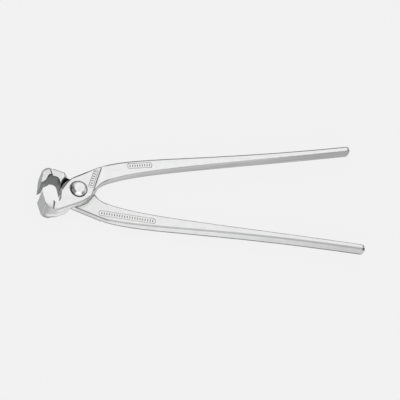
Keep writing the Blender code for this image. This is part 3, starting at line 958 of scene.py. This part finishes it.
def painted_edge_shade(mesh, at, normal):
    """Painted shade where the skin turns sharply from a broad side to an upright one, standing in for dark
    reflections on the corners.
    """
    x, y, z = at
    _, ny, nz = normal
    steep = abs(nz)
    thin = ramp(sharpness(mesh), 0.2, 0.7) * ramp(steep, 0.985, 0.905) * ramp(steep, 0.15, 0.35)
    # On upright sides it reaches about 1 mm further in
    ends = np.empty(len(mesh.edges) * 2, np.int32)
    mesh.edges.foreach_get("vertices", ends)
    first, second = ends.reshape(-1, 2).T
    spread = thin.copy()
    for _ in range(SPREAD_EDGES):
        before = spread.copy()
        np.maximum.at(spread, first, before[second])
        np.maximum.at(spread, second, before[first])
    thin = np.maximum(thin, spread * ramp(steep, *UPRIGHT))
    # Less shows along the plate's lower edge, on the blade's front and top, and on the root's outer edge
    thin *= 1.0 - 0.6 * ramp(ny, 0.0, -1.0 / 3.0) * ramp(nz, -0.1, 0.1)
    thin *= 1.0 - 0.8 * ramp(x, *BLADE_FRONT)
    thin *= 1.0 - ramp(x, *BLADE_TOP_FRONT) * (nz > 0.0)
    thin *= 1.0 - 0.3 * (x > 2.0) * (y > plate_edge(x * MM) / MM - 3.0) * (nz < 0.5) * (z < 3.0)
    return thin


def handle_edge_shade(at, normal):
    """Painted shade along three corners of the handle, and how fully each point belongs to the handle."""
    x, y, z = at
    run = x * MM
    low, high = handle_low(run) / MM, handle_high(run) / MM
    lift = HANDLE_LEAN * (z - (low + high) / 2.0)
    half = handle_width(run) / MM / 2.0
    across = y - handle_centre(run) / MM
    inner = half + across - lift
    outer = half - across + lift * (1.0 - (1.0 - along(run)) ** LEAN_POWER)
    wider = 0.5 * ramp(abs(normal[2]), *UPRIGHT)
    handle_shade = np.zeros(len(x))
    # Distances from a corner's two sides, the width of painted shade there, and how much of it shows
    for beside, under, width, share in (
            (outer, high - z, 1.5 + wider, 0.85),
            (inner, z - low, 1.1, 0.7),
            (outer, z - low, 1.15, 0.5)):
        away = np.hypot(np.maximum(beside, 0.0), np.maximum(under, 0.0))
        handle_shade = np.maximum(handle_shade, share * ramp(away, width, width - 0.3))
    return handle_shade, ramp(x, *HANDLE_START) * ramp(x, *HANDLE_TIP)


def dark_lines(at, normal):
    """Painted shade along the brinks of the plate and the root, in the corner behind the blade and round
    the rivet's heads, and a dark line along the parting line.
    """
    x, y, z = at
    _, ny, nz = normal
    on_plate = (nz > 0.3) * (z > PLATE_BRINK_HEIGHT)
    # Brink of the plate's nose, wider towards its end
    nose = path_distance(at, shoulder_outline()[:-2])
    width = 0.7 + 0.5 * ramp(x, *NOSE_BRINK)
    lines = [ramp(nose, width, width - 0.4) * on_plate * (x < 2.0)]
    # Upper brink of the plate, which fades towards the handle
    upper = path_distance(at, [(run, plate_edge(run)) for run in (-PLATE_SHOULDER_RUN, STEP_TOP_RUN)])
    fade = ramp(x, *PLATE_BRINK_START) * ramp(x, *PLATE_BRINK_END)
    lines.append(ramp(upper, *UPPER_BRINK) * on_plate * fade)
    # Inner brink of the handle's root, on its lap side
    runs = np.linspace(ROOT_START, ROOT_END, ROOT_BRINK_POINTS)
    root = path_distance(at, [(run, inner_edge(run)) for run in runs])
    lines.append(0.7 * ramp(root, *ROOT_BRINK) * (nz < -0.3) * (x > 8.0))
    # Painted shade in the corner behind the blade
    corner = path_distance(at, [
        (BLADE_REAR - BLADE_REAR_LEAN, -JAW_BACK), (BLADE_REAR, -BLADE_REAR_TURN), (BLADE_REAR, 0.0)])
    lines.append(0.85 * ramp(corner, *BLADE_CORNER) * (abs(nz) > 0.15))
    # Parting line of the forging, which climbs along the outer side of the neck
    level = -0.5 + 3.8 * ramp(x, *NECK_LINE_CLIMB)
    parting = ramp(abs(z - level), *PARTING_LINE) * (ny < -0.7)
    lines.append(0.4 * parting * ramp(x, *NECK_LINE_START) * ramp(x, *NECK_LINE_END))
    # Painted shade in a ring round the rivet's heads, wider on the side of the plate's upper edge
    ring_width = 0.1 + ramp(y, *RING_SHADE_SIDE)
    lines.append(0.9 * (np.hypot(x, y) < RIVET_HEAD_RADIUS / MM + ring_width) * (nz > 0.9))
    return np.maximum.reduce(lines)


def inner_side(at, normal):
    """How squarely the skin faces the other handle."""
    return ramp(np.maximum(-normal[1], 1.2 * normal[0] * (at[0] < 22.0)), *FACING_ASIDE)


def painted_face_shade(at, normal):
    """Painted shade on the blade's back, on the horn's flank and far out on the handle's inner side."""
    x, y, z = at
    nx, ny, _ = normal
    # The blade's back takes painted shade along its low edge and towards its front
    front = 0.33 + 0.25 * ramp(x, *BLADE_BACK_FRONT)
    front *= np.maximum(ramp(z, *BLADE_BACK_HEIGHT), ramp(x, *BLADE_FOOT_FRONT))
    foot_share = np.maximum(0.75 * ramp(z, *BLADE_FOOT_HEIGHT), front)
    back = ramp(x, *BLADE_BACK) * ramp(ny, -0.2, -0.7) * foot_share
    on_horn = (z < 0.0) * (np.hypot(x, y) > HORN_FLANK_RADIUS)
    on_horn = on_horn * (x > HORN_FLANK_REACH[0]) * (x < HORN_FLANK_REACH[1])
    flank = 0.6 * on_horn * ramp(nx, 0.4, 0.6) * ramp(ny, 0.25, 0.05)
    return np.maximum.reduce([back, flank, 0.2 * inner_side(at, normal) * ramp(x, *INNER_SIDE_FAR)])


def trimmed_and_shaded_sides(at, normal):
    """Duller zinc with trimming streaks where the flash was trimmed off; its grey is also painted shade on
    the sides facing the other handle and out along the outer sides, with faint painted shade on some broad
    faces.
    """
    x, _, z = at
    _, ny, nz = normal
    low, high = handle_low(x * MM) / MM, handle_high(x * MM) / MM
    # The inner side's painted shade is paler towards its top near the root
    paler_top = 0.4 - 0.3 * ramp(x, *PALER_TOP_END)
    outer = ramp(ny, *FACING_ASIDE)
    on_plate = abs(z - PLATE_THICKNESS / MM) < 0.8
    return np.maximum.reduce([
        inner_side(at, normal) * ramp(x, *INNER_SIDE_START) * (1.0 - paler_top * ramp(z, low, high)),
        0.6 * outer * ramp(x, *OUTER_SIDE_FAR),
        0.5 * outer * ramp(x, *ROOT_SIDE_END) * (x > 0.0),
        0.34 * ramp(nz, -0.96, -0.98) * (x < -14.0),
        0.06 * ramp(nz, *FACING_UP) * on_plate * (x < 24.0),
        (0.12 - 0.06 * ramp(x, *LAP_SIDE_PALER)) * ramp(nz, *FACING_DOWN) * (x > 2.0)])


def painted_slot_shade(at, normal):
    """Painted shade on the wall and the floor of the recess, in the slot beside the other lever's plate."""
    x, y, z = at
    _, ny, nz = normal
    radius = np.hypot(x, y)
    wall = (RECESS_RADIUS + RECESS_TAPER * ramp(-z * MM, 0.0, RECESS_DEPTH)) / MM
    side = ramp(nz, -0.9, -0.7) * ramp(ny, 0.1, 0.25)
    floor = np.maximum(ramp(radius, *SLOT_FLOOR_RADIUS), 0.66) * (radius > SLOT_FLOOR_START) * (nz < -0.8)
    slot = (radius < wall + 0.5) * (z < LAP_FACE / MM + 0.3)
    slot = slot * ramp(x, *SLOT_START) * ramp(z, *SLOT_FOOT_HEIGHT)
    # The painted shade is paler on the side towards the plate's upper edge
    return slot * np.maximum(side, floor) * (1.0 - 0.38 * ramp(y, *SLOT_PALER_SIDE))


def mark_finish_and_shade(mesh):
    """Stores the painted shade on edges and faces, the trimmed zinc with its painted shade, and the painted
    shade in the slot.
    """
    at, normal = points_of(mesh)
    handle_shade, on_handle = handle_edge_shade(at, normal)
    thin = painted_edge_shade(mesh, at, normal) * (1.0 - on_handle) + handle_shade * on_handle
    store(mesh, "painted_shade", np.maximum.reduce([thin, dark_lines(at, normal), painted_face_shade(at, normal)]))
    store(mesh, "trimmed_and_shaded_side", trimmed_and_shaded_sides(at, normal))
    store(mesh, "painted_slot_shade", painted_slot_shade(at, normal))


# Levers and raised work

def lever_mesh(forging, forged, ground, hollow):
    """One lever in its own frame: the softened forging, then the ground and milled cuts."""
    handle, values = handle_tree(forged)
    root_run = ROOT_END + ROOT_OVERLAP - ROOT_START
    root = loft("root", [
        root_ring(ROOT_START + root_run * step / ROOT_STEPS) for step in range(ROOT_STEPS + 1)])
    pieces = [
        neck(), blade(), heel(), settled(root, "root"),
        grown("handle", bpy.data.meshes.new("handle"), handle, values)]
    work = bmesh.new()
    for piece in pieces:
        work.from_mesh(piece)
    skin = bpy.data.meshes.new("skin")
    work.to_mesh(skin)
    work.free()
    body = link("skin", skin)
    remesh = body.modifiers.new("skin", "REMESH")
    remesh.mode = "VOXEL"
    remesh.voxel_size = forging.skin
    soften = body.modifiers.new("soften", "SMOOTH")
    soften.factor = 0.5
    soften.iterations = forging.soften
    skin = settled(body, "skin")
    skin.materials.clear()
    skin.materials.append(forged)
    mark_finish_and_shade(skin)
    body = link("lever", skin)
    cuts = [
        (prism("front", [
            (-REACH, -REACH), (-EDGE_REACH + REACH * math.tan(FRONT_LEAN), -REACH),
            (-EDGE_REACH, 0.0), (-EDGE_REACH, REACH), (-REACH, REACH)], -REACH, REACH), ground),
        (prism("mouth", mouth_outline(), -EDGE_WIDTH, EDGE_WIDTH), hollow),
        (prism("bore", bore_outline(), -REACH, REACH), forged),
    ]
    for tool, material in cuts:
        tool.data.materials.append(material)
        join(body, tool, "DIFFERENCE")
    mesh = settled(body, "lever")
    for tool, _ in cuts:
        bpy.data.objects.remove(tool, do_unlink=True)
    return mesh


def bore_outline():
    """Circle of the rivet's bore."""
    radius = RIVET_SHANK_RADIUS + FIT_CLEARANCE
    turns = [2.0 * math.pi * step / CIRCLE_STEPS for step in range(CIRCLE_STEPS)]
    return [(radius * math.cos(turn), radius * math.sin(turn)) for turn in turns]


def field(corners, row, height):
    """Outline and centre line of one raised frame, each with its edges, at the height given for each x."""
    scaled = [[size * MM for size in corner] for corner in corners]
    outline = [(x, y, height(x)) for x, y in rounded(scaled)]
    (ax, ay), (bx, by) = [(x * MM, y * MM) for x, y in row]
    shares = [step / ROW_STEPS for step in range(ROW_STEPS + 1)]
    line = [(ax + (bx - ax) * t, ay + (by - ay) * t, height(ax + (bx - ax) * t)) for t in shares]
    loop = [(index, (index + 1) % len(outline)) for index in range(len(outline))]
    chain = [(index, index + 1) for index in range(ROW_STEPS)]
    return (outline, loop), (line, chain)


def pill(start, end):
    """Corners in mm of a long frame with round ends about a line, in short steps along it."""
    (ax, ay), (bx, by) = start, end
    upper = []
    for step in range(PILL_STEPS + 1):
        share = step / PILL_STEPS
        radius = PILL_ROUND if step in (0, PILL_STEPS) else 0.0
        upper.append((ax + (bx - ax) * share, ay + (by - ay) * share + PILL_HALF, radius))
    return upper + [(x, y - 2.0 * PILL_HALF, radius) for x, y, radius in reversed(upper)]


def raised_fields():
    """The three raised frames of a lever: on its plate, and on both broad sides of its handle."""
    plaque = [(x, y, PLAQUE_ROUND) for x, y in PLAQUE_CORNERS]
    return [
        field(plaque, PLAQUE_ROW, lambda x: PLATE_THICKNESS),
        field(pill(*UPPER_PILL), UPPER_ROW, handle_high),
        field(pill(*LOWER_PILL), LOWER_ROW, handle_low),
    ]


def finish_piece(name, mesh, body, replaced=()):
    """Shades a finished mesh and hands its object to the frame."""
    mesh.shade_smooth()
    mesh.set_sharp_from_angle(angle=SHARP_ANGLE)
    made = link(name, mesh)
    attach(made, body)
    if replaced:
        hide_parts(*replaced)
    return made


# Operators

class PLIERS_OT_levers(bpy.types.Operator):
    """Make the two crossed levers, the same forging turned over"""

    bl_idname = "pliers.levers"
    bl_label = "Levers"

    def execute(self, context):
        finish = context.scene.pliers_finish
        mesh = lever_mesh(context.scene.pliers_forging, zinc_plated_forging(finish),
                          zinc_over_grinding(finish), dull_shaded_hollow(finish))
        turned = mesh.copy()
        mesh.transform(FRONT_PLACE)
        turned.transform(REAR_PLACE)
        finish_piece("front_lever_forging", mesh, "front_lever", ["front_lever"])
        finish_piece("rear_lever_forging", turned, "rear_lever", ["rear_lever"])
        return {"FINISHED"}


class PLIERS_OT_rivet(bpy.types.Operator):
    """Make the turned rivet with its two cone-shaped heads"""

    bl_idname = "pliers.rivet"
    bl_label = "Rivet"

    def execute(self, context):
        seat = PLATE_THICKNESS + FIT_CLEARANCE
        top = PLATE_THICKNESS + RIVET_HEAD_HEIGHT
        half = rounded([
            (0.0, top, 0.0), (RIVET_FLAT_RADIUS, top, RIVET_TOP_ROUND),
            (RIVET_HEAD_RADIUS, seat + RIVET_RIM, RIVET_RIM_ROUND),
            (RIVET_HEAD_RADIUS, seat, RIVET_SEAT_ROUND),
            (RIVET_SHANK_RADIUS, seat, 0.0), (RIVET_SHANK_RADIUS, 0.0, 0.0), (0.0, 0.0, 0.0)])[:-1]
        profile = [(x, z) for x, z in half] + [(x, -z) for x, z in reversed(half[:-1])]
        mesh = bpy.data.meshes.new("rivet")
        mesh.from_pydata([(x, 0.0, z) for x, z in profile],
                         [(i, i + 1) for i in range(len(profile) - 1)], [])
        made = link("rivet_profile", mesh)
        screw = made.modifiers.new("turned", "SCREW")
        screw.axis = "Z"
        screw.steps = CIRCLE_STEPS
        screw.render_steps = CIRCLE_STEPS
        screw.use_merge_vertices = True
        screw.merge_threshold = MERGE_DISTANCE
        mesh = settled(made, "rivet_turned")
        work = bmesh.new()
        work.from_mesh(mesh)
        bmesh.ops.remove_doubles(work, verts=work.verts, dist=MERGE_DISTANCE)
        bmesh.ops.recalc_face_normals(work, faces=work.faces)
        work.to_mesh(mesh)
        work.free()
        mesh.materials.append(zinc_plated_turning(context.scene.pliers_finish))
        mesh.transform(LAP_HEIGHT)
        finish_piece("rivet_turned", mesh, "front_lever", ["rivet"])
        return {"FINISHED"}


class PLIERS_OT_raised_work(bpy.types.Operator):
    """Make the bare raised frames on plates and handles, with their rows of bars"""

    bl_idname = "pliers.raised_work"
    bl_label = "Raised frames and bars"

    def execute(self, context):
        forging = context.scene.pliers_forging
        material = bpy.data.materials["zinc_plated_forging"]
        makers = (frame_tree(material, forging), bar_tree(material, forging))
        work = bmesh.new()
        shares = []
        for paths in raised_fields():
            for (points, edges), (tree, values), share in zip(paths, makers, (BEAD_SHARE, BAR_SHARE)):
                path = bpy.data.meshes.new("path")
                path.from_pydata(points, edges, [])
                raised = grown("raised", path, tree, values)
                shares.append(np.full(len(raised.vertices), share))
                work.from_mesh(raised)
        bmesh.ops.recalc_face_normals(work, faces=work.faces)
        for body, place in (("front_lever", FRONT_PLACE), ("rear_lever", REAR_PLACE)):
            mesh = bpy.data.meshes.new(body + "_raised_work")
            work.to_mesh(mesh)
            mesh.materials.append(material)
            _, (_, _, nz) = points_of(mesh)
            # The raised work takes painted shade, fullest on its sides
            store(mesh, "painted_shade", np.concatenate(shares) * ramp(abs(nz), *RAISED_SIDE))
            mesh.transform(place)
            finish_piece(body + "_raised_work", mesh, body)
        work.free()
        return {"FINISHED"}


class PLIERS_OT_stage(bpy.types.Operator):
    """Make the floor, the light and the camera"""

    bl_idname = "pliers.stage"
    bl_label = "Stage"

    def execute(self, context):
        scene = context.scene
        stage = scene.pliers_stage
        floor = prism("floor", [
            (x * FLOOR_HALF, y * FLOOR_HALF) for x, y in ((-1, -1), (1, -1), (1, 1), (-1, 1))],
            FLOOR_FOOT, FLOOR_TOP)
        floor.data.materials.append(studio_floor(scene.pliers_finish))

        square = (stage.softbox_size, stage.softbox_size)
        for name, size, power, place in (
                ("softbox", square, stage.softbox_power, SOFTBOX_PLACE),
                ("card", CARD_SIZE, stage.card_power, CARD_PLACE)):
            lamp = bpy.data.lights.new(name, "AREA")
            lamp.shape = "RECTANGLE"
            lamp.size, lamp.size_y = size
            lamp.energy = power
            panel = bpy.data.objects.new(name, lamp)
            panel.location = place
            panel.visible_camera = False
            scene.collection.objects.link(panel)
            if name == "card":
                panel.rotation_euler = Vector(place).to_track_quat("Z", "Y").to_euler()

        world = bpy.data.worlds.new("room")
        world.use_nodes = True
        world.node_tree.nodes.clear()
        light = node(world.node_tree, "ShaderNodeBackground", {
            "Color": (1.0, 1.0, 1.0, 1.0), "Strength": stage.room})
        node(world.node_tree, "ShaderNodeOutputWorld", {"Surface": light.outputs[0]})
        scene.world = world

        view = bpy.data.cameras.new("camera")
        view.lens = stage.lens
        view.sensor_width = CAMERA_SENSOR
        view.clip_end = CAMERA_FAR
        camera = bpy.data.objects.new("camera", view)
        turn = Matrix((CAMERA_RIGHT, CAMERA_BACK.cross(CAMERA_RIGHT), CAMERA_BACK)).transposed()
        camera.matrix_world = Matrix.Translation(stage.camera_place) @ turn.to_4x4()
        scene.collection.objects.link(camera)
        scene.camera = camera
        scene.view_settings.view_transform = "Standard"
        return {"FINISHED"}


class PLIERS_PT_panel(bpy.types.Panel):
    """Lists the pieces and their settings"""

    bl_idname = "PLIERS_PT_panel"
    bl_label = "Rebar tying pliers"
    bl_space_type = "VIEW_3D"
    bl_region_type = "UI"
    bl_category = "Pliers"

    def draw(self, context):
        for step in OPERATORS:
            self.layout.operator(step.bl_idname)
        scene = context.scene
        for group in (scene.pliers_finish, scene.pliers_forging, scene.pliers_stage):
            for name in group.__annotations__:
                self.layout.prop(group, name)


OPERATORS = (PLIERS_OT_levers, PLIERS_OT_rivet, PLIERS_OT_raised_work, PLIERS_OT_stage)
CLASSES = (PliersFinish, PliersForging, PliersStage, *OPERATORS, PLIERS_PT_panel)


def register():
    for item in CLASSES:
        bpy.utils.register_class(item)
    bpy.types.Scene.pliers_finish = bpy.props.PointerProperty(type=PliersFinish)
    bpy.types.Scene.pliers_forging = bpy.props.PointerProperty(type=PliersForging)
    bpy.types.Scene.pliers_stage = bpy.props.PointerProperty(type=PliersStage)


def unregister():
    del bpy.types.Scene.pliers_stage
    del bpy.types.Scene.pliers_forging
    del bpy.types.Scene.pliers_finish
    for item in reversed(CLASSES):
        bpy.utils.unregister_class(item)


def main():
    register()
    bpy.ops.pliers.levers()
    bpy.ops.pliers.rivet()
    bpy.ops.pliers.raised_work()
    bpy.ops.pliers.stage()


if __name__ == "__main__":
    main()
